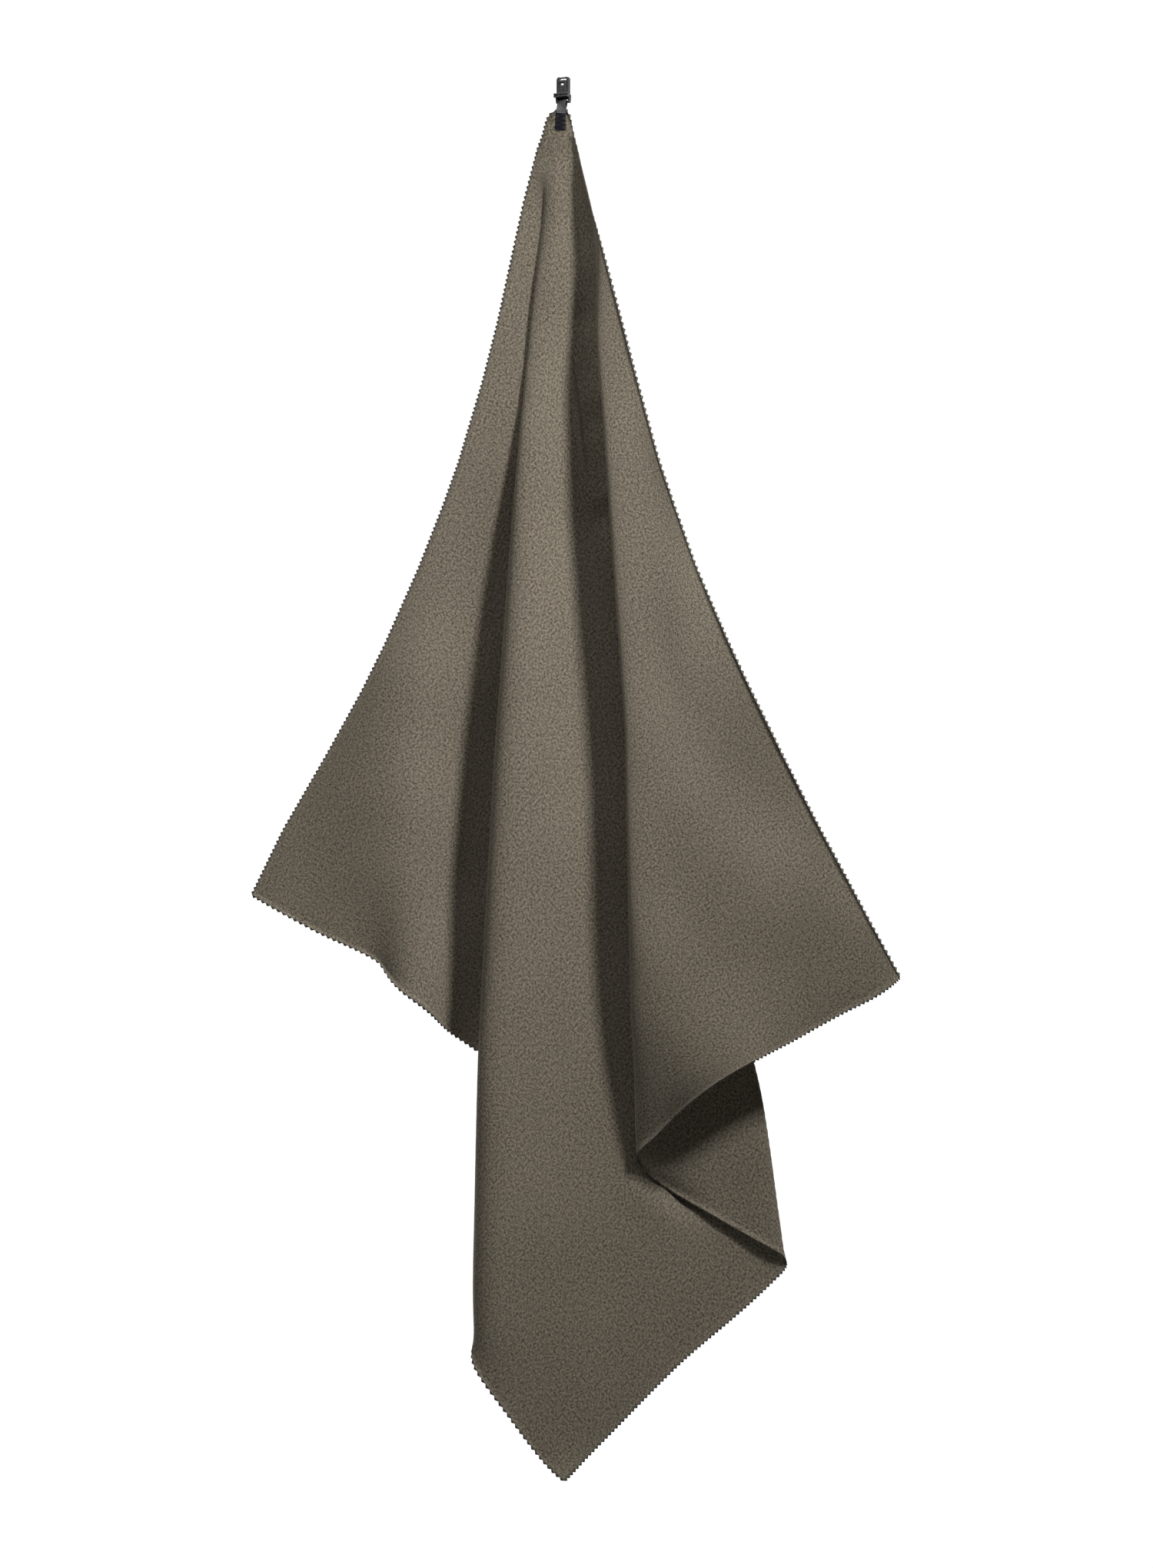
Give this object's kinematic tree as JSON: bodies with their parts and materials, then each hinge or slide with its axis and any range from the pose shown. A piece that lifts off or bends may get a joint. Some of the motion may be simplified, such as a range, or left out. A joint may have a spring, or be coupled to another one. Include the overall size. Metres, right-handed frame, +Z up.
{
  "type": "quick dry towel",
  "caption": "Pinked microfibre towel hung by one corner in soft folds, on a sewn webbing loop with a small plastic clip that has an opening gate.",
  "frame": {"origin": "the hanging point: the middle of the underside of the clip's top bar", "axes": "+Z up along the hanging towel, +X to the towel's right as seen from its front, +Y to its back"},
  "size_m": [0.6831, 0.1356, 1.4805],
  "materials": {
    "clip_plastic": "satin moulded",
    "gate_plastic": "satin moulded",
    "webbing": "ribbed woven tape",
    "thread": "twisted sewing thread",
    "microfibre": "suede-like brushed knit"
  },
  "bodies": {
    "clip": {"clip_frame": "clip_plastic"},
    "gate": {"clip_gate": "gate_plastic"},
    "towel": {"webbing_loop": "webbing", "bartack_threads": "thread", "towel_panel": "microfibre"}
  },
  "joints": [
    {"name": "gate_hinge", "type": "hinge", "parent": "clip", "child": "gate", "pos_m": [-0.00033, -0.0005, -0.018], "axis": [0.8387, -0.5446, 0], "range_deg": [0, 22]},
    {"name": "towel_swing", "type": "hinge", "parent": "clip", "child": "towel", "pos_m": [0, 0, -0.025], "axis": [0.8387, -0.5446, 0], "range_deg": [-45, 45]}
  ]
}
